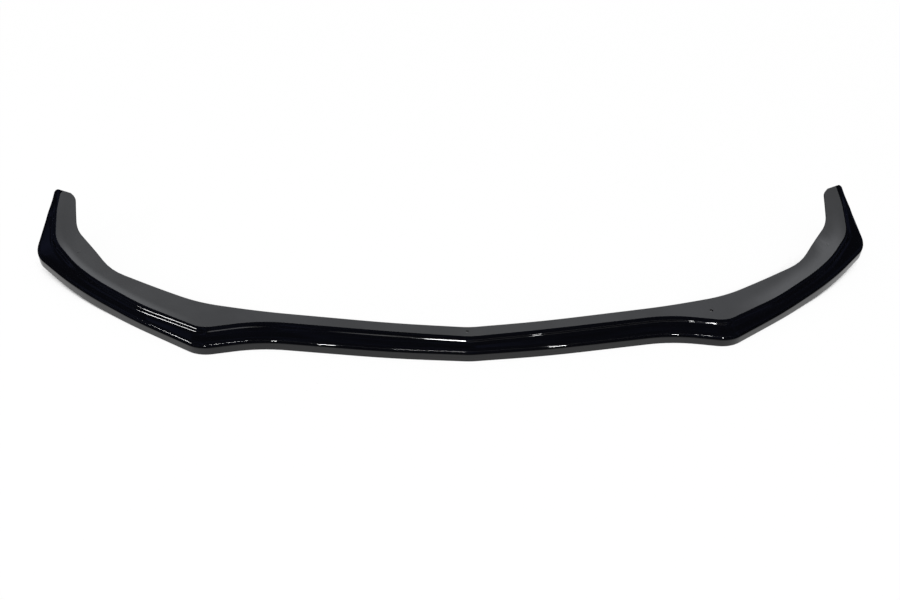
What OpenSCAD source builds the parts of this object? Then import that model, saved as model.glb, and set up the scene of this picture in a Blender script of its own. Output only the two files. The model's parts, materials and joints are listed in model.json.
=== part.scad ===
// Front splitter lip for a car bumper: one thermoformed plastic sheet with a stepped edge.
// X runs to the right, Y runs back along the car, Z is up. The piece is the same left and right,
// apart from the two drilled holes. The plan is drawn from the centre point of the front edge.

/* [Front edge, right half] */
// Half width at the end of the gentle bow beside the centre point
bow_x = 148.5; // [120:0.5:180]
// How far the front edge lies back there
bow_y = 11.5; // [8:0.5:20]
// Half width at the bay, the hollow between the bow and the kink
bay_x = 398.5; // [370:0.5:420]
// How far the front edge lies back in the bay
bay_y = 46.5; // [40:0.5:56]
// Half width at the kink, the forward corner of the lip
kink_x = 509; // [490:0.5:530]
// How far the kink lies back from the centre point
kink_y = 27.5; // [20:0.5:36]
// Half width at the middle of the side run
side_x = 646; // [630:1:670]
// How far the front edge lies back at the middle of the side run
side_y = 110.5; // [105:0.5:128]
// Half width where the side run starts to turn
shoulder_x = 755.5; // [740:0.5:768]
// How far the front edge lies back at the shoulder
shoulder_y = 181.5; // [175:0.5:195]
// Half width between the shoulder and the outer corner
flank_x = 814; // [798:1:822]
// How far the front edge lies back at the flank
flank_y = 226; // [215:1:238]
// Half width at the outer corner, where the edge turns straight back
corner_x = 897; // [880:1:915]
// How far the outer corner lies back
corner_y = 299; // [280:1:310]
// Half width along the wing
wing_x = 901; // [885:1:912]
// How far back the middle of the wing lies
wing_y = 402; // [380:1:412]
// Half width where the wing's end starts
end_x = 897.5; // [885:0.5:912]
// How far back the wing's end starts
end_y = 439; // [428:1:450]
// Half width at the wing's tip
tip_x = 899.5; // [885:0.5:912]
// How far back the tip lies
tip_y = 468.5; // [460:0.5:500]

/* [Lip width, front edge to step] */
// Width of the lip at the centre point
lip_centre = 24.5; // [22:0.5:34]
// Width of the lip at the end of the bow
lip_bow = 30.5; // [24:0.5:38]
// Width of the lip in the bay
lip_bay = 33; // [26:0.5:40]
// Width of the lip at the kink
lip_kink = 34; // [26:0.5:40]
// Width of the lip along the side run
lip_side = 22.5; // [20:0.5:32]
// Width of the lip at the shoulder
lip_shoulder = 24.5; // [22:0.5:34]
// Width of the lip at the flank
lip_flank = 27; // [24:0.5:36]
// Width of the lip at the outer corner, its widest place
lip_corner = 42.5; // [35.5:0.5:49.5]
// Width of the lip along the wing
lip_wing = 23; // [19:0.5:27]
// Width of the lip where the wing's end starts
lip_end = 16; // [14:0.5:20]
// Width of the lip at the tip
lip_tip = 16.5; // [13:0.5:18]

/* [Flange width, step to rear edge] */
// Width of the flange at the centre point
flange_centre = 31.5; // [26:0.5:40]
// Width of the flange at the end of the bow
flange_bow = 29; // [24:0.5:38]
// Width of the flange in the bay
flange_bay = 32; // [28:0.5:42]
// Width of the flange behind the kink
flange_kink = 72.5; // [64:0.5:80]
// Width of the flange along the side run
flange_side = 55.5; // [46:0.5:62]
// Width of the flange at the shoulder
flange_shoulder = 39; // [32:0.5:46]
// Width of the flange at the flank
flange_flank = 52.5; // [42:0.5:56]
// Width of the flange inside the outer corner
flange_corner = 49.5; // [40:0.5:52]
// Width of the flange along the wing
flange_wing = 44; // [36:0.5:48]
// Width of the flange where the wing's end starts
flange_end = 36.5; // [30.5:0.5:42.5]
// Width of the flange at the tip, after its corner is taken off
flange_tip = 23.5; // [19.5:0.5:27.5]
// How far the rear edge's bend lies outward of the kink
kink_slide = 36; // [25:1:42]
// How far the rear edge's bend lies behind the outer corner
corner_slide = 12.5; // [10:0.5:26]
// How far the rear edge's last bend lies behind the start of the wing's end
end_slide = 2.5; // [-1.5:0.5:6.5]
// How far the flange's end is cut back from the tip of the front edge
tip_cut = 18; // [13:1:23]

/* [Section] */
// Thickness of the plastic sheet
sheet = 4; // [3:0.25:5]
// Height of the front wall
wall_height = 23.5; // [20:0.5:26]
// How far the front wall leans back at its top
wall_lean = 1.5; // [0.5:0.25:3]
// Height of the inner edge of the blade, at the foot of the step
foot_height = 27.5; // [26.5:0.5:30]
// Height of the flange's top face
flange_height = 37; // [34:0.5:42]
// How far the step leans back from foot to top
step_run = 6.5; // [5:0.25:8]
// Length of the rounding each way from the nose
nose_round = 8; // [4.5:0.25:9]
// Length of the rounding each way from the foot of the step
foot_round = 5; // [3:0.25:5.5]
// Length of the rounding each way from the top of the step
step_round = 5; // [4:0.25:5.5]

/* [Wing rise] */
// How far the wing tips rise above the centre
tip_rise = 68; // [50:1:90]
// How far back the rise begins
rise_start = 100; // [85:1:120]
// Power of the rise's curve, where 1 would be a straight ramp
rise_power = 1.6; // [1.3:0.05:2]
// Length over which the step runs out towards the tip
step_fade = 120; // [80:5:150]

/* [Rounding in plan] */
// Rounding of the front edge at the centre point
front_round_centre = 10.5; // [6:0.5:24]
// Rounding of the front edge at the end of the bow
front_round_bow = 70; // [40:5:70]
// Rounding of the front edge in the bay
front_round_bay = 50; // [30:1:52]
// Rounding of the front edge at the kink
front_round_kink = 25.5; // [16:0.5:50]
// Rounding of the front edge along the side run and the flank
front_round_side = 31.5; // [20:0.5:34]
// Rounding of the front edge at the outer corner
front_round_corner = 28; // [22:1:34]
// Rounding of the front edge along the wing
front_round_wing = 12; // [8:1:18]
// Rounding of the step at the centre point
step_round_centre = 14.5; // [6:0.5:30]
// Rounding of the step at the kink
step_round_kink = 17; // [10:1:30]
// Rounding of the rear edge at the kink
rear_round_kink = 43.5; // [35:0.5:52]
// Rounding of the rear edge at the shoulder, inside the outer corner and along the wing
rear_round_side = 34.5; // [27:0.5:42]
// Rounding of the rear edge at the flank
rear_round_flank = 25.5; // [16:0.5:32]
// Rounding of the flange's corner at the tip
rear_round_tip = 12; // [8:1:15]
// Radius of the front edge's corner at the tip
tip_round = 9; // [6:0.5:12]

/* [Holes] */
// Diameter of the screw hole near the right kink
kink_hole_d = 6.5; // [5:0.5:8]
// Distance of that hole in from the rear edge
kink_hole_edge = 35; // [28:1:42]
// Distance of that hole inward of the rear edge's bend
kink_hole_shift = 48; // [40:1:56]
// Diameter of the screw hole behind the centre point
centre_hole_d = 4.5; // [3:0.5:6]
// Distance of that hole in from the rear edge
centre_hole_edge = 11; // [9:0.5:15]
// Distance of that hole to the left of the centre line
centre_hole_shift = 4; // [0:0.5:8]
// Distance of the drill mark on each wing in from the rear edge
mark_edge = 24; // [18:0.5:30]
// Distance of the drill mark outward of the flank
mark_shift = 23; // [16:1:30]
// Radius of the round end that pressed the drill marks
mark_r = 6; // [4:0.5:8]
// Depth of the drill marks
mark_depth = 1; // [0.5:0.1:1.5]

/* [Facets] */
// Facets along the edge at each sharp corner of the plan
sharp_facets = 8; // [6:2:8]
// Facets along the edge at each gentle bend of the plan
gentle_facets = 4; // [2:1:6]
// Facets round each bend of the section
section_facets = 5; // [4:1:5]

/* [Hidden] */
$fn = 48;
// A rounding takes at most this share of the edge beside it
round_share = 0.49;
// Sheet cut off the raw end of each wing
end_trim = 0.5;
gloss_black = [0.05, 0.05, 0.06];

// Stations along the right half of the front edge, from the centre point to the tip
front = [
    [0, 0], [bow_x, bow_y], [bay_x, bay_y], [kink_x, kink_y], [side_x, side_y], [shoulder_x, shoulder_y],
    [flank_x, flank_y], [corner_x, corner_y], [wing_x, wing_y], [end_x, end_y], [tip_x, tip_y]
];
lip = [
    lip_centre, lip_bow, lip_bay, lip_kink, lip_side, lip_shoulder,
    lip_flank, lip_corner, lip_wing, lip_end, lip_tip
];
flange = [
    flange_centre, flange_bow, flange_bay, flange_kink, flange_side, flange_shoulder,
    flange_flank, flange_corner, flange_wing, flange_end, flange_tip
];
slide = [0, 0, 0, kink_slide, 0, 0, 0, corner_slide, 0, end_slide, -tip_cut];
facets = [
    sharp_facets, gentle_facets, sharp_facets, sharp_facets, gentle_facets, gentle_facets,
    gentle_facets, sharp_facets, gentle_facets, gentle_facets, 0
];
front_round = [
    front_round_centre, front_round_bow, front_round_bay, front_round_kink, front_round_side,
    front_round_side, front_round_side, front_round_corner, front_round_wing, front_round_wing, 0
];
step_round_plan = [
    step_round_centre, front_round_bow, front_round_bay, step_round_kink, front_round_side,
    front_round_side, front_round_side, front_round_corner, front_round_wing, front_round_wing, 0
];
rear_round = [
    step_round_centre, front_round_bow, front_round_bay, rear_round_kink, rear_round_kink,
    rear_round_side, rear_round_flank, rear_round_side, rear_round_side, rear_round_tip, 0
];
last = len(front) - 1;

function unit(v) = v / norm(v);
function square_to(v) = [-v.y, v.x];
function edge_dir(k) = unit(front[k + 1] - front[k]);

// Direction square to the front edge at station k, pointing back over the sheet
function inward(k) =
    k == 0 ? [0, 1]
    : k == last ? square_to(edge_dir(k - 1))
    : unit(square_to(edge_dir(k - 1)) + square_to(edge_dir(k)));

// Point on the sheet at station k: so far in from the front edge, and so far on towards the tip
function place(k, back, along = 0) = front[k] + back * inward(k) - along * square_to(inward(k));

// The wing's end is cut straight across, so the step there is cut back by its share
function step_slide(k) = k == last ? slide[k] * lip[k] / (lip[k] + flange[k]) : 0;

step_line = [for (k = [0 : last]) place(k, lip[k], step_slide(k))];
rear_line = [for (k = [0 : last]) place(k, lip[k] + flange[k], slide[k])];

// The left half repeats the right half
function mirrored(p) = [-p.x, p.y];
function both_points(list) = [for (k = [last : -1 : 1]) mirrored(list[k]), each list];
function both_values(list) = [for (k = [last : -1 : 1]) list[k], each list];

// Rounding at corner k, held within its share of the edges beside it
function held_round(corners, size, k) = min(
    size, round_share * norm(corners[k] - corners[k - 1]), round_share * norm(corners[k + 1] - corners[k])
);

// Curve that rounds corner b between points a and c, and its direction
function bend(a, b, c, t) = (1 - t) * (1 - t) * a + 2 * t * (1 - t) * b + t * t * c;
function bend_dir(a, b, c, t) = unit((1 - t) * (b - a) + t * (c - b));

// Line through the corners with each one rounded
function rounded_line(corners, rounds, steps) = [
    corners[0],
    for (k = [1 : len(corners) - 2]) let (
        size = held_round(corners, rounds[k], k),
        a = corners[k] - size * unit(corners[k] - corners[k - 1]),
        c = corners[k] + size * unit(corners[k + 1] - corners[k])
    ) each [for (s = [0 : steps[k]]) bend(a, corners[k], c, s / steps[k])],
    corners[len(corners) - 1]
];

steps = both_values(facets);
front_rail = rounded_line(both_points(front), both_values(front_round), steps);
step_rail = rounded_line(both_points(step_line), both_values(step_round_plan), steps);
rear_rail = rounded_line(both_points(rear_line), both_values(rear_round), steps);

// The wings rise towards the rear along one smooth curve
function rise(y) = tip_rise * pow(max(0, y - rise_start) / (tip_y - rise_start), rise_power);
function lifted(p, z) = [p.x, p.y, z + rise(p.y)];

// Near the tips the lip comes up to the flange, so that the step runs out
function fade(y) = let (t = max(0, 1 - (tip_y - y) / step_fade)) t * t * (3 - 2 * t);
function lip_lifted(p, z) = lifted(p, z + (flange_height - foot_height) * fade(p.y));

// Corners of the section at ring i: wall foot, nose, step foot, step top and rear edge
function section_corners(i) = let (across = unit(step_rail[i] - front_rail[i])) [
    lifted(front_rail[i], 0),
    lip_lifted(front_rail[i] + wall_lean * across, wall_height),
    lip_lifted(step_rail[i] - step_run * across, foot_height),
    lifted(step_rail[i], flange_height),
    lifted(rear_rail[i], flange_height)
];
section_round = [0, nose_round, foot_round, step_round, 0];

// Points of the section at ring i, each with the direction of the section there
function section(i) = let (c = section_corners(i)) [
    [c[0], unit(c[1] - c[0])],
    for (k = [1 : 3]) let (
        size = held_round(c, section_round[k], k),
        a = c[k] - size * unit(c[k] - c[k - 1]),
        b = c[k] + size * unit(c[k + 1] - c[k])
    ) each [for (s = [0 : section_facets]) let (t = s / section_facets)
        [bend(a, c[k], b, t), bend_dir(a, c[k], b, t)]],
    [c[4], unit(c[4] - c[3])]
];

rings = len(front_rail);
sections = [for (i = [0 : rings - 1]) section(i)];
points_across = len(sections[0]);

// The sheet's outer face, and its inner face one thickness below it
outer = [for (i = [0 : rings - 1]) [for (j = [0 : points_across - 1]) sections[i][j][0]]];
function step_dir(i, j) = unit(outer[i + 1][j] - outer[i][j]);
function ring_dir(i, j) = step_dir(min(i, rings - 2), j) + step_dir(max(i - 1, 0), j);
function inner_point(i, j) = outer[i][j] - sheet * unit(cross(ring_dir(i, j), sections[i][j][1]));
inner = [for (i = [0 : rings - 1]) [for (j = [0 : points_across - 1])
    let (p = inner_point(i, j)) j == 0 ? [p.x, p.y, outer[i][0].z] : p
]];

function at(i, j) = i * points_across + j;
inner_start = rings * points_across;
function two_triangles(a, b, c, d) = [[a, b, c], [a, c, d]];
last_ring = rings - 1;
last_across = points_across - 1;

module sheet_body() {
    polyhedron(
        points = [for (ring = outer) each ring, for (ring = inner) each ring],
        faces = [
            for (i = [0 : last_ring - 1]) for (j = [0 : last_across - 1]) each concat(
                two_triangles(at(i, j), at(i, j + 1), at(i + 1, j + 1), at(i + 1, j)),
                two_triangles(
                    inner_start + at(i, j), inner_start + at(i + 1, j),
                    inner_start + at(i + 1, j + 1), inner_start + at(i, j + 1)
                )
            ),
            for (i = [0 : last_ring - 1]) each concat(
                two_triangles(at(i, 0), at(i + 1, 0), inner_start + at(i + 1, 0), inner_start + at(i, 0)),
                two_triangles(
                    at(i, last_across), inner_start + at(i, last_across),
                    inner_start + at(i + 1, last_across), at(i + 1, last_across)
                )
            ),
            for (j = [0 : last_across - 1]) each concat(
                two_triangles(at(0, j), inner_start + at(0, j), inner_start + at(0, j + 1), at(0, j + 1)),
                two_triangles(
                    at(last_ring, j), at(last_ring, j + 1),
                    inner_start + at(last_ring, j + 1), inner_start + at(last_ring, j)
                )
            )
        ]
    );
}

// Drilled down through the flat part of the flange
module screw_hole(p, d) {
    translate([p.x, p.y, flange_height - 2 * sheet]) cylinder(d = d, h = 3 * sheet);
}

// Round-bottomed mark pressed into the flange of each wing
module drill_mark(p) {
    translate(lifted(p, flange_height + mark_r - mark_depth)) sphere(r = mark_r);
}

// The end of the wing, cut square to the ground: its corner, its direction and its rounding
end_dir = unit(rear_line[last] - front[last]);
end_corner = acos(-edge_dir(last - 1) * end_dir);
tip_corner = front[last] - end_trim / sin(end_corner) * edge_dir(last - 1);
tip_centre = tip_corner + tip_round / sin(end_corner / 2) * unit(end_dir - edge_dir(last - 1));
tip_reach = tip_round / tan(end_corner / 2);
module tip_trim(spare = 20) {
    side_start = tip_corner - tip_reach * edge_dir(last - 1);
    end_start = tip_corner + tip_reach * end_dir;
    end_stop = tip_corner + (lip[last] + flange[last] + spare) * end_dir;
    difference() {
        linear_extrude(tip_rise + 2 * flange_height) polygon([
            side_start, side_start - spare * square_to(edge_dir(last - 1)),
            tip_corner + 2 * spare * unit(edge_dir(last - 1) - end_dir),
            end_stop - spare * square_to(end_dir), end_stop, end_start, tip_centre
        ]);
        translate([tip_centre.x, tip_centre.y, -1])
            cylinder(r = tip_round, h = tip_rise + 2 * flange_height + 2);
    }
}

function from_rear(k, edge, along) = place(k, lip[k] + flange[k] - edge, slide[k] + along);
kink_hole = from_rear(3, kink_hole_edge, -kink_hole_shift);
centre_hole = from_rear(0, centre_hole_edge, -centre_hole_shift);
wing_mark = from_rear(6, mark_edge, mark_shift);

// The origin is under the middle of the piece, on the ground
all_y = [for (ring = concat(outer, inner)) for (p = ring) p.y];
middle_y = (min(all_y) + tip_centre.y + tip_round) / 2;

module splitter_lip() {
    color(gloss_black) translate([0, -middle_y, 0]) difference() {
        sheet_body();
        screw_hole(kink_hole, kink_hole_d);
        screw_hole(centre_hole, centre_hole_d);
        drill_mark(wing_mark);
        drill_mark(mirrored(wing_mark));
        tip_trim();
        mirror([1, 0, 0]) tip_trim();
    }
}

splitter_lip();
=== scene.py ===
"""Dresses a front splitter lip: one thermoformed black sheet with a gloss lip and a satin flange.

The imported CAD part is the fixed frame. Its sheet is refined here for smooth reflections, gets its
finishes, and stands on a pale floor in a plain white studio.
"""

import enum
import json
import logging
import math
from dataclasses import dataclass
from typing import NamedTuple

import bmesh
import bpy
from mathutils import Euler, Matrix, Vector, kdtree

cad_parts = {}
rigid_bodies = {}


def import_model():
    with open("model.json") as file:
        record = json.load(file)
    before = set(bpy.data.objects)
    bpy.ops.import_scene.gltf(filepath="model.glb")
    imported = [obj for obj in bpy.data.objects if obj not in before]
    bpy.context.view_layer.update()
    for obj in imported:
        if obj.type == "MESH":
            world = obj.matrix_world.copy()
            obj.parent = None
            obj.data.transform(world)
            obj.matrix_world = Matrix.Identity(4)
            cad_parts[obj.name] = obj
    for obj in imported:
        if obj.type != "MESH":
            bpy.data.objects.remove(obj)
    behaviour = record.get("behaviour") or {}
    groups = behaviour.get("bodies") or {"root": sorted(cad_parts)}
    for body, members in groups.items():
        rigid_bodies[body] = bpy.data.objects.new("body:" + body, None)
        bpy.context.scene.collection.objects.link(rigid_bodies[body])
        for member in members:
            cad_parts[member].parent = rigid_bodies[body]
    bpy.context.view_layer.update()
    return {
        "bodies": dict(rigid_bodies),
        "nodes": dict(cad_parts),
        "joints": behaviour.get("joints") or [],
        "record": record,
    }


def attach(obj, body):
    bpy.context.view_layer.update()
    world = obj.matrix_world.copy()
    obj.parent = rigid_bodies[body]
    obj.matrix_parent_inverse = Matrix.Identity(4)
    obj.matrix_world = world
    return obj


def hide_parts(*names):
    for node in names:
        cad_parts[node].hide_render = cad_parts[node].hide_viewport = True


LOG = logging.getLogger("splitter_lip")
NODE = "splitter_lip"
STEP_GAP = "step_gap"
PLASTIC_IOR = 1.5

Triple = tuple[float, float, float]
Socket = bpy.types.NodeSocket

WHITE: Triple = (1.0, 1.0, 1.0)
LIP_MIDDLE: Triple = (0.0, -0.2, 0.03)


class Skin(enum.IntEnum):
    """The three finishes of the sheet, in the order of the piece's material slots."""

    GLOSS = 0
    SATIN = 1
    TRIM = 2


class Ramp(NamedTuple):
    """A smooth step: the result goes from start to end while the source goes from low to high."""

    low: float
    high: float
    start: float
    end: float


class Noise(NamedTuple):
    """A noise pattern: waves to the metre, the number of finer layers and their strength."""

    scale: float
    detail: float
    roughness: float


class Relief(NamedTuple):
    """A fine relief in the shading: its strength and its depth in metres."""

    strength: float
    depth: float


class Nodes:
    """A short way to add and join shader nodes in one tree."""

    def __init__(self, tree: bpy.types.NodeTree) -> None:
        """Starts from an empty tree.

        Args:
            tree: the node tree to fill.
        """
        self.tree = tree
        tree.nodes.clear()

    def add(self, kind: str, **values: object) -> bpy.types.Node:
        """Adds a node and sets its properties and inputs.

        Args:
            kind: the node's type name without the ShaderNode prefix.
            values: properties by name, and inputs by name with spaces written as underscores.

        Returns:
            The new node.
        """
        node = self.tree.nodes.new("ShaderNode" + kind)
        for name, value in values.items():
            if hasattr(node, name) and name not in ("inputs", "outputs"):
                setattr(node, name, value)
            else:
                node.inputs[name.replace("_", " ")].default_value = value
        return node

    def join(self, source: Socket, target: Socket) -> None:
        """Links an output to an input.

        Args:
            source: the output.
            target: the input.
        """
        self.tree.links.new(source, target)

    def feed(self, value: Socket | float | Triple, target: Socket) -> None:
        """Links an output to an input, or sets the input to a constant.

        Args:
            value: the output, a number or a colour.
            target: the input.
        """
        if isinstance(value, Socket):
            self.join(value, target)
        elif isinstance(value, tuple):
            target.default_value = (*value, 1.0)
        else:
            target.default_value = value

    def ramp(self, source: Socket, ramp: Ramp) -> Socket:
        """Maps a value to another range with a smooth step, held at its ends.

        Args:
            source: the value to map.
            ramp: where the change starts and ends, and the results there.

        Returns:
            The mapped value's socket.
        """
        step = self.add("MapRange", interpolation_type="SMOOTHSTEP")
        for socket, value in zip(step.inputs[1:5], ramp):
            socket.default_value = value
        self.join(source, step.inputs[0])
        return step.outputs[0]

    def math(self, operation: str, first: Socket, second: Socket | float = 0.0) -> Socket:
        """Does sums on one or two values.

        Args:
            operation: the Math node's operation.
            first: the first value's socket.
            second: the second value, as a socket or a number.

        Returns:
            The result's socket.
        """
        node = self.add("Math", operation=operation)
        self.join(first, node.inputs[0])
        self.feed(second, node.inputs[1])
        return node.outputs[0]

    def mix(self, share: Socket | float, first: Socket | Triple, second: Socket | Triple,
            blend: str = "MIX") -> Socket:
        """Mixes two colours.

        Args:
            share: how much of the second colour is taken.
            first: the first colour.
            second: the second colour.
            blend: the Mix node's blend type.

        Returns:
            The mixed colour's socket.
        """
        node = self.add("Mix", data_type="RGBA", blend_type=blend)
        self.feed(share, node.inputs[0])
        self.feed(first, node.inputs[6])
        self.feed(second, node.inputs[7])
        return node.outputs[2]

    def noise(self, place: Socket, noise: Noise) -> Socket:
        """Adds a noise pattern.

        Args:
            place: the coordinates that the pattern follows.
            noise: its size and roughness.

        Returns:
            The pattern's value.
        """
        texture = self.add("TexNoise", Scale=noise.scale, Detail=noise.detail,
                           Roughness=noise.roughness)
        self.join(place, texture.inputs["Vector"])
        return texture.outputs["Fac"]

    def emboss(self, height: Socket, relief: Relief, shader: bpy.types.Node) -> None:
        """Gives a shader a fine relief.

        Args:
            height: the relief's pattern.
            relief: its strength and depth.
            shader: the shader that gets it.
        """
        bump = self.add("Bump", Strength=relief.strength, Distance=relief.depth)
        self.join(height, bump.inputs["Height"])
        self.join(bump.outputs["Normal"], shader.inputs["Normal"])

    def seen(self, path: bpy.types.Node) -> Socket:
        """Tells the rays that the eye follows from all others.

        Args:
            path: the tree's Light Path node.

        Returns:
            A value that is 1 straight from the camera and through clear things.
        """
        return self.math("MAXIMUM", path.outputs["Is Camera Ray"],
                         path.outputs["Is Transmission Ray"])


@dataclass(frozen=True)
class Finish:
    """What the sheet's finishes share: black plastic whose patterns stay with the part."""

    name: str

    def make(self) -> bpy.types.Material:
        """Builds the material.

        Returns:
            The material, with the finish's own colour, roughness and relief.
        """
        material = bpy.data.materials.new(self.name)
        material.use_nodes = True
        nodes = Nodes(material.node_tree)
        place = nodes.add("TexCoord").outputs["Object"]
        shader = nodes.add("BsdfPrincipled", IOR=PLASTIC_IOR)
        self.shade(nodes, place, shader)
        nodes.join(shader.outputs[0], nodes.add("OutputMaterial").inputs[0])
        return material

    def shade(self, nodes: Nodes, place: Socket, shader: bpy.types.Node) -> None:
        """Feeds the shader's inputs. Each finish has its own way.

        Args:
            nodes: the material's tree.
            place: the object's own coordinates.
            shader: the shader to feed.
        """
        raise NotImplementedError


@dataclass(frozen=True)
class GlossBlack(Finish):
    """The visible lip: black, hard and bright, with the faint waviness of a formed sheet."""

    name: str = "gloss_black"
    colour: Triple = (0.0018, 0.0019, 0.0028)
    haze: Noise = Noise(9.0, 5.0, 0.6)
    roughness: Ramp = Ramp(0.35, 0.7, 0.03, 0.05)
    waves: Noise = Noise(28.0, 1.0, 0.4)
    wave_relief: Relief = Relief(0.35, 0.00005)

    def shade(self, nodes: Nodes, place: Socket, shader: bpy.types.Node) -> None:
        """Gives the shader slow waves and a little haze.

        Args:
            nodes: the material's tree.
            place: the object's own coordinates.
            shader: the shader to feed.
        """
        nodes.feed(self.colour, shader.inputs["Base Color"])
        nodes.emboss(nodes.noise(place, self.waves), self.wave_relief, shader)
        nodes.join(nodes.ramp(nodes.noise(place, self.haze), self.roughness),
                   shader.inputs["Roughness"])


@dataclass(frozen=True)
class SatinBlack(Finish):
    """The mounting flange and the underside: black with a fine pressed grain and soft sheen.

    Its colour holds painted light: a paler band along the step on both side runs is a painted
    sheen, and the runs inboard of the wings are painted a little lighter than the wings.
    One ramp makes that band wider on the right. The band's ramp runs in metres from the step's
    line, and the ramps for the two sides and the wings run in metres along X.
    """

    name: str = "satin_black"
    dark: Triple = (0.044, 0.045, 0.047)
    # The paler colour serves both the random cloud tone and the painted sheen band.
    light: Triple = (0.08, 0.082, 0.086)
    cloud: Noise = Noise(6.0, 6.0, 0.55)
    cloud_drift: Ramp = Ramp(0.35, 0.65, 0.0, 0.2)
    roughness: Ramp = Ramp(0.3, 0.7, 0.39, 0.33)
    # The next four ramps place the painted sheen band along the step on the side runs.
    painted_sheen_band: Ramp = Ramp(0.0032, 0.016, 1.0, 0.0)
    sheen_widening: Ramp = Ramp(-0.1, 0.1, 1.0, 0.45)
    side_start: Ramp = Ramp(0.5, 0.66, 0.0, 0.9)
    side_end: Ramp = Ramp(0.81, 0.86, 1.0, 0.1)
    # Painted light: the runs inboard of the wings get 1.2 times the colour, and the wings keep it.
    painted_wing_shade: Ramp = Ramp(0.8, 0.88, 1.2, 1.0)
    grain: Noise = Noise(900.0, 2.0, 0.5)
    grain_relief: Relief = Relief(0.4, 0.00006)

    def shade(self, nodes: Nodes, place: Socket, shader: bpy.types.Node) -> None:
        """Gives the shader a colour and a sheen that drift slowly under a fine grain.

        Args:
            nodes: the material's tree.
            place: the object's own coordinates.
            shader: the shader to feed.
        """
        axes = nodes.add("SeparateXYZ")
        nodes.join(place, axes.inputs[0])
        across = axes.outputs["X"]
        off_centre = nodes.math("ABSOLUTE", across)
        cloud = nodes.noise(place, self.cloud)

        gap = nodes.math("MULTIPLY", nodes.add("Attribute", attribute_name=STEP_GAP).outputs["Fac"],
                         nodes.ramp(across, self.sheen_widening))
        sheen_sides = nodes.math("MULTIPLY", nodes.ramp(off_centre, self.side_start),
                           nodes.ramp(off_centre, self.side_end))
        # Painted sheen: a paler band in the colour along the step, standing in for reflected light.
        painted_sheen = nodes.math("MULTIPLY", nodes.ramp(gap, self.painted_sheen_band), sheen_sides)
        tone_and_sheen = nodes.mix(nodes.math("ADD", painted_sheen, nodes.ramp(cloud, self.cloud_drift)),
                         self.dark, self.light)
        # Painted light: this multiplies the colour by 1.2 inboard of the wings and by 1.0 on them.
        nodes.join(nodes.mix(1.0, tone_and_sheen, nodes.ramp(off_centre, self.painted_wing_shade), "MULTIPLY"),
                   shader.inputs["Base Color"])
        nodes.join(nodes.ramp(cloud, self.roughness), shader.inputs["Roughness"])
        nodes.emboss(nodes.noise(place, self.grain), self.grain_relief, shader)


@dataclass(frozen=True)
class TrimmedEdge(Finish):
    """The sheet's trimmed edge and drilled holes: duller, with fine cutter marks."""

    name: str = "trimmed_edge"
    colour: Triple = (0.01, 0.01, 0.011)
    marks: Noise = Noise(700.0, 3.0, 0.6)
    roughness: Ramp = Ramp(0.3, 0.7, 0.42, 0.58)
    mark_relief: Relief = Relief(0.5, 0.0001)

    def shade(self, nodes: Nodes, place: Socket, shader: bpy.types.Node) -> None:
        """Gives the shader the close marks left by the cutter.

        Args:
            nodes: the material's tree.
            place: the object's own coordinates.
            shader: the shader to feed.
        """
        marks = nodes.noise(place, self.marks)
        nodes.feed(self.colour, shader.inputs["Base Color"])
        nodes.join(nodes.ramp(marks, self.roughness), shader.inputs["Roughness"])
        nodes.emboss(marks, self.mark_relief, shader)


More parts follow.
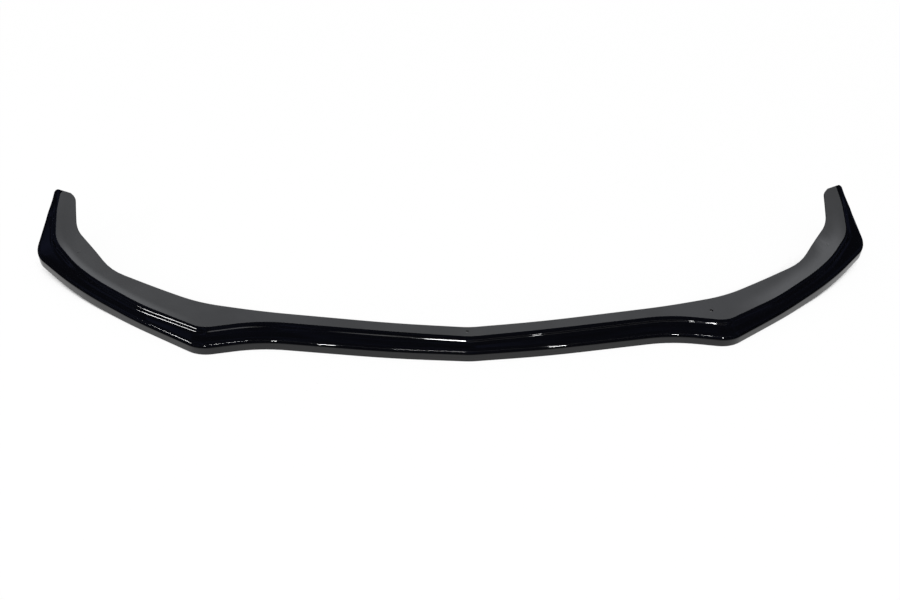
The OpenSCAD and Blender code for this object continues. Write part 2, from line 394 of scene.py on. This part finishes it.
@dataclass
class LipSheet:
    """The whole formed sheet, refined from the CAD node so that light runs smoothly over it.

    Lengths are in metres and angles in degrees. The level and cut values are limits for one part
    of a face's unit normal.
    """

    node: str = NODE
    merge_gap: float = 2e-6
    pair_fold: float = 5.0
    pair_shape: float = 60.0
    edge_angle: float = 42.0
    flange_angle: float = 3.4
    sharp_angle: float = 50.0
    flange_spot: Triple = (0.25, -0.1575, 0.037)
    level: float = 0.99
    drill_marks: tuple[tuple[float, float], ...] = ((0.79665, 0.05148), (-0.79665, 0.05148))
    mark_radius: float = 0.0042
    mark_level: float = 0.2
    cut_level: float = 0.5
    cut_rearward: float = 0.2
    cut_inward: float = 0.3
    cut_forward: float = 0.5
    wing_start: float = 0.11
    edge_break: float = 0.0004
    edge_segments: int = 2
    shading_weight: int = 60
    finishes: tuple[Finish, ...] = (GlossBlack(), SatinBlack(), TrimmedEdge())

    def build(self, frame: dict) -> bpy.types.Object:
        """Makes the refined sheet and puts it in the CAD node's place.


        Returns:
            The new object.
        """
        form = bmesh.new()
        form.from_mesh(frame["nodes"][self.node].data)
        self.weld(form)
        self.name_skins(form)
        self.mark_step(form)
        self.break_edges(form)
        self.mark_sharp(form)
        mesh = bpy.data.meshes.new("lip_sheet")
        form.to_mesh(mesh)
        form.free()
        for finish in self.finishes:
            mesh.materials.append(finish.make())
        piece = bpy.data.objects.new("lip_sheet", mesh)
        bpy.context.scene.collection.objects.link(piece)
        self.smooth(piece)
        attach(piece, "root")
        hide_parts(self.node)
        return piece

    def weld(self, form: bmesh.types.BMesh) -> None:
        """Welds the loose triangles and pairs them into four-sided faces.

        Args:
            form: the mesh to weld.
        """
        bmesh.ops.remove_doubles(form, verts=form.verts, dist=self.merge_gap)
        bmesh.ops.join_triangles(
            form, faces=form.faces, cmp_seam=False, cmp_sharp=False, cmp_uvs=False,
            cmp_vcols=False, cmp_materials=False,
            angle_face_threshold=math.radians(self.pair_fold),
            angle_shape_threshold=math.radians(self.pair_shape))
        form.normal_update()

    def name_skins(self, form: bmesh.types.BMesh) -> None:
        """Gives each face its finish: trimmed edges and bores, satin back and flange, gloss lip.

        Args:
            form: the welded mesh.
        """
        for face in form.faces:
            face.material_index = Skin.TRIM
        top = min((f for f in form.faces if f.normal.z > self.level), key=self.from_flange_spot)
        back = min((f for f in form.faces if f.normal.z < -self.level), key=self.from_flange_spot)
        self.spread(top, self.edge_angle, Skin.GLOSS)
        for face in form.faces:
            if face.material_index == Skin.GLOSS and self.is_cut_edge(face):
                face.material_index = Skin.TRIM
        self.spread(back, self.edge_angle, Skin.SATIN)
        self.spread(top, self.flange_angle, Skin.SATIN, self.wing_start)
        for face in form.faces:
            if face.normal.z > self.mark_level and self.is_in_mark(face):
                face.material_index = Skin.SATIN

    def is_cut_edge(self, face: bmesh.types.BMFace) -> bool:
        """Tells whether a face is part of the trimmed rear edge or of a wing's cut end.

        Args:
            face: a face of the sheet.

        Returns:
            True where the face stands upright and looks to the rear or to the car's middle.
        """
        turned = face.normal
        side = math.copysign(1.0, face.calc_center_median().x)
        inward = turned.x * side < -self.cut_inward and turned.y > -self.cut_forward
        return abs(turned.z) < self.cut_level and (turned.y > self.cut_rearward or inward)

    def is_in_mark(self, face: bmesh.types.BMFace) -> bool:
        """Tells whether a face lies in one of the shallow drill marks, seen from above.

        Args:
            face: a face of the sheet.

        Returns:
            True where the face's middle is within a mark's rim.
        """
        middle = face.calc_center_median()
        return any(math.hypot(middle.x - x, middle.y - y) < self.mark_radius
                   for x, y in self.drill_marks)

    def from_flange_spot(self, face: bmesh.types.BMFace) -> float:
        """Measures how far a face's middle is from a plain spot on the flange.

        Args:
            face: a face of the sheet.

        Returns:
            The distance.
        """
        return (face.calc_center_median() - Vector(self.flange_spot)).length

    def spread(self, seed: bmesh.types.BMFace, turn: float, skin: Skin,
               wing_start: float = math.inf) -> None:
        """Gives a finish to a face and to all that join it without a sharper fold.

        Args:
            seed: the face to start from.
            turn: the largest fold between neighbours, in degrees.
            skin: the finish.
            wing_start: how far back the step starts to run out. From there on the finish only
                spreads along the wing, not across it.
        """
        limit = math.radians(turn)
        found, waiting = {seed}, [seed]
        while waiting:
            face = waiting.pop()
            face.material_index = skin
            for edge in face.edges:
                run = edge.verts[1].co - edge.verts[0].co
                on_wing = min(v.co.y for v in edge.verts) > wing_start
                sideways = on_wing and abs(run.y) > abs(run.x)
                if sideways or len(edge.link_faces) != 2 or edge.calc_face_angle() >= limit:
                    continue
                for other in edge.link_faces:
                    if other not in found:
                        found.add(other)
                        waiting.append(other)

    def mark_step(self, form: bmesh.types.BMesh) -> None:
        """Stores on each point how far it is from the line where the flange meets the step.

        Args:
            form: the mesh with its finishes named.
        """
        both = {Skin.GLOSS, Skin.SATIN}
        line = [vert for edge in form.edges
                if {face.material_index for face in edge.link_faces} == both
                for vert in edge.verts]
        tree = kdtree.KDTree(len(line))
        for count, vert in enumerate(line):
            tree.insert(vert.co, count)
        tree.balance()
        layer = form.verts.layers.float.new(STEP_GAP)
        for vert in form.verts:
            vert[layer] = tree.find(vert.co)[2]

    def break_edges(self, form: bmesh.types.BMesh) -> None:
        """Takes the sharpness off the trimmed edges and the hole rims.

        Args:
            form: the mesh with its finishes named.
        """
        limit = math.radians(self.edge_angle)
        sharp = [edge for edge in form.edges
                 if len({face.material_index == Skin.TRIM for face in edge.link_faces}) == 2
                 and edge.calc_face_angle(0.0) > limit]
        bmesh.ops.bevel(form, geom=sharp, offset=self.edge_break, offset_type="OFFSET",
                        segments=self.edge_segments, profile=0.5, affect="EDGES",
                        clamp_overlap=False, material=-1, loop_slide=True)
        form.normal_update()

    def mark_sharp(self, form: bmesh.types.BMesh) -> None:
        """Keeps the shading apart at sharp folds and at the rims of the shallow drill marks.

        Args:
            form: the finished mesh.
        """
        limit = math.radians(self.sharp_angle)
        for edge in form.edges:
            rim = len({self.is_in_mark(face) for face in edge.link_faces}) == 2
            edge.smooth = not rim and edge.calc_face_angle(0.0) < limit

    def smooth(self, piece: bpy.types.Object) -> None:
        """Shades the sheet smoothly, and lets its broad faces lead the shading.

        Args:
            piece: the sheet's object.
        """
        piece.data.shade_smooth()
        weigh = piece.modifiers.new("even_normals", "WEIGHTED_NORMAL")
        weigh.mode = "FACE_AREA"
        weigh.keep_sharp = True
        weigh.weight = self.shading_weight


@dataclass(frozen=True)
class StripLamp:
    """A rectangular soft lamp that the eye doesn't see, only its light and its reflection."""

    name: str
    place: Triple
    size: tuple[float, float]
    power: float
    aim: Triple = LIP_MIDDLE

    def hang(self) -> None:
        """Makes the lamp at its place and turns it to its aim."""
        light = bpy.data.lights.new(self.name, "AREA")
        light.shape = "RECTANGLE"
        light.size, light.size_y = self.size
        light.energy = self.power
        lamp = bpy.data.objects.new(self.name, light)
        lamp.location = self.place
        lamp.rotation_mode = "QUATERNION"
        way = Vector(self.aim) - Vector(self.place)
        lamp.rotation_quaternion = way.to_track_quat("-Z", "Y")
        lamp.visible_camera = False
        bpy.context.scene.collection.objects.link(lamp)


@dataclass
class Studio:
    """The pale floor, the white surroundings and the soft lamps.

    The eye sees floor and world as plain white. The gloss sees a dark room, the lamps, and the
    floor only where it lies close to the sheet. The floor's shadow follows how much of the sky in
    front of it is open.
    """

    floor_size: float = 24.0
    floor_drop: float = 0.0002
    floor_colour: Triple = (0.95, 0.95, 0.95)
    shadow_colour: Triple = (0.01, 0.01, 0.01)
    floor_glow: float = 0.96
    floor_mirrored: float = 0.8
    open_way: Triple = (0.0, -0.6, 0.8)
    shadow_reach: float = 0.08
    shadow_samples: int = 8
    shadow_span: tuple[float, float] = (0.55, 0.8)
    near_floor: tuple[float, float] = (0.024, 0.034)
    wing_reach: Ramp = Ramp(0.6, 0.86, 1.0, 0.3)
    room: Triple = (0.004, 0.0045, 0.006)
    room_patch: Triple = (0.05, 0.06, 0.13)
    patches: Noise = Noise(4.0, 3.0, 0.55)
    patch_share: Ramp = Ramp(0.45, 0.68, 0.0, 1.0)
    daylight: Triple = (0.95, 0.95, 0.95)
    strips: tuple[StripLamp, ...] = (
        StripLamp("strip_middle", (-0.385, -2.42, 1.34), (0.52, 0.03), 5.0),
        StripLamp("strip_right", (1.15, -2.54, 0.628), (0.15, 0.09), 9.0),
        StripLamp("strip_left", (-1.155, -2.57, 0.636), (0.09, 0.09), 6.0),
        StripLamp("strip_kink", (0.617, -1.24, 0.775), (0.035, 0.03), 0.25, (0.49, -0.18, 0.03)),
        StripLamp("side_window", (-2.664, -0.978, 1.235), (0.6, 0.14), 9.5),
        StripLamp("side_strip", (-2.8, -0.8, 1.2), (0.35, 0.05), 2.4),
        StripLamp("long_strip", (0.4, -2.3, 1.53), (4.2, 0.05), 1.1),
    )

    def floor(self) -> bpy.types.Object:
        """Makes the floor just under the part.

        Returns:
            The floor's object.
        """
        form = bmesh.new()
        bmesh.ops.create_grid(form, x_segments=1, y_segments=1, size=self.floor_size / 2)
        mesh = bpy.data.meshes.new("floor")
        form.to_mesh(mesh)
        form.free()
        mesh.materials.append(self.floor_finish())
        floor = bpy.data.objects.new("floor", mesh)
        floor.location.z = -self.floor_drop
        bpy.context.scene.collection.objects.link(floor)
        return floor

    def floor_finish(self) -> bpy.types.Material:
        """Makes the floor's finish: white to the eye, dark under the part, hidden from most gloss.

        Returns:
            The material.
        """
        material = bpy.data.materials.new("pale_floor")
        material.use_nodes = True
        nodes = Nodes(material.node_tree)
        path = nodes.add("LightPath")
        mirrored = path.outputs["Is Glossy Ray"]
        open_sky = self.open_sky(nodes)

        lit = nodes.ramp(open_sky, Ramp(*self.shadow_span, 0.0, self.floor_glow))
        glowing = nodes.math("ADD", nodes.math("MULTIPLY", nodes.seen(path), lit), mirrored)
        matt = nodes.add("BsdfDiffuse")
        ground = nodes.mix(nodes.ramp(open_sky, Ramp(*self.shadow_span, 0.0, 1.0)),
                           self.shadow_colour, self.floor_colour)
        nodes.join(ground, matt.inputs["Color"])
        glow = nodes.add("Emission", Color=(*WHITE, 1.0))
        strength = nodes.add("Mix", data_type="FLOAT")
        nodes.feed(mirrored, strength.inputs[0])
        nodes.feed(1.0, strength.inputs[2])
        nodes.feed(self.close_by(nodes, path), strength.inputs[3])
        nodes.join(strength.outputs[0], glow.inputs["Strength"])

        mix = nodes.add("MixShader")
        nodes.join(glowing, mix.inputs[0])
        nodes.join(matt.outputs[0], mix.inputs[1])
        nodes.join(glow.outputs[0], mix.inputs[2])
        nodes.join(mix.outputs[0], nodes.add("OutputMaterial").inputs[0])
        return material

    def open_sky(self, nodes: Nodes) -> Socket:
        """Measures how much of the sky in front of each spot of the floor is open.

        Args:
            nodes: the floor's tree.

        Returns:
            A value that is 1 in the open and 0 where the part covers all.
        """
        way = nodes.add("CombineXYZ", **dict(zip("XYZ", self.open_way)))
        shade = nodes.add("AmbientOcclusion", samples=self.shadow_samples, only_local=False,
                          Distance=self.shadow_reach)
        nodes.join(way.outputs[0], shade.inputs["Normal"])
        return shade.outputs["AO"]

    def close_by(self, nodes: Nodes, path: bpy.types.Node) -> Socket:
        """Shows the gloss only the floor close to it, and reaches further at the wings.

        Args:
            nodes: the floor's tree.
            path: the tree's Light Path node.

        Returns:
            How brightly the floor glows for a mirrored ray.
        """
        spot = nodes.add("SeparateXYZ")
        nodes.join(nodes.add("TexCoord").outputs["Object"], spot.inputs[0])
        reach = nodes.ramp(nodes.math("ABSOLUTE", spot.outputs["X"]), self.wing_reach)
        length = nodes.math("MULTIPLY", path.outputs["Ray Length"], reach)
        return nodes.ramp(length, Ramp(*self.near_floor, self.floor_mirrored, 0.0))

    def surroundings(self) -> None:
        """Makes the world: white to the eye, pale light on the sheet, a dark room in the gloss."""
        world = bpy.data.worlds.new("studio")
        bpy.context.scene.world = world
        world.use_nodes = True
        nodes = Nodes(world.node_tree)
        path = nodes.add("LightPath")
        patches = nodes.noise(nodes.add("TexCoord").outputs["Generated"], self.patches)
        room = nodes.mix(nodes.ramp(patches, self.patch_share), self.room, self.room_patch)
        light = nodes.mix(path.outputs["Is Glossy Ray"], self.daylight, room)
        back = nodes.add("Background", Strength=1.0)
        nodes.join(nodes.mix(nodes.seen(path), light, WHITE), back.inputs["Color"])
        nodes.join(back.outputs[0], nodes.add("OutputWorld").inputs[0])

    def lamps(self) -> None:
        """Hangs the strip lamps in front whose thin reflections run along the lip's bends."""
        for strip in self.strips:
            strip.hang()


@dataclass(frozen=True)
class Viewpoint:
    """The photograph's camera, solved from the part's left and right symmetry.

    The place and the clipping are in metres, the turn in degrees, lens and sensor in millimetres.
    """

    place: Triple = (-0.1068, -1.25489, 0.98521)
    turn: Triple = (50.8266, -1.2166, -2.6622)
    lens: float = 30.15
    sensor: float = 36.0
    clip: tuple[float, float] = (0.05, 60.0)

    def make(self) -> bpy.types.Object:
        """Makes the camera and chooses it.

        Returns:
            The camera's object.
        """
        data = bpy.data.cameras.new("viewpoint")
        data.sensor_width, data.lens = self.sensor, self.lens
        data.clip_start, data.clip_end = self.clip
        camera = bpy.data.objects.new("viewpoint", data)
        camera.location = self.place
        camera.rotation_euler = Euler([math.radians(angle) for angle in self.turn], "XYZ")
        bpy.context.scene.collection.objects.link(camera)
        bpy.context.scene.camera = camera
        return camera


def main() -> None:
    """Builds the part, its finishes and the studio."""
    logging.basicConfig(level=logging.INFO, format="%(message)s")
    bpy.context.scene.view_settings.view_transform = "Standard"
    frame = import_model()
    piece = LipSheet().build(frame)
    LOG.info("%s: %d faces", piece.name, len(piece.data.polygons))
    studio = Studio()
    studio.floor()
    studio.surroundings()
    studio.lamps()
    Viewpoint().make()


if __name__ == "__main__":
    main()
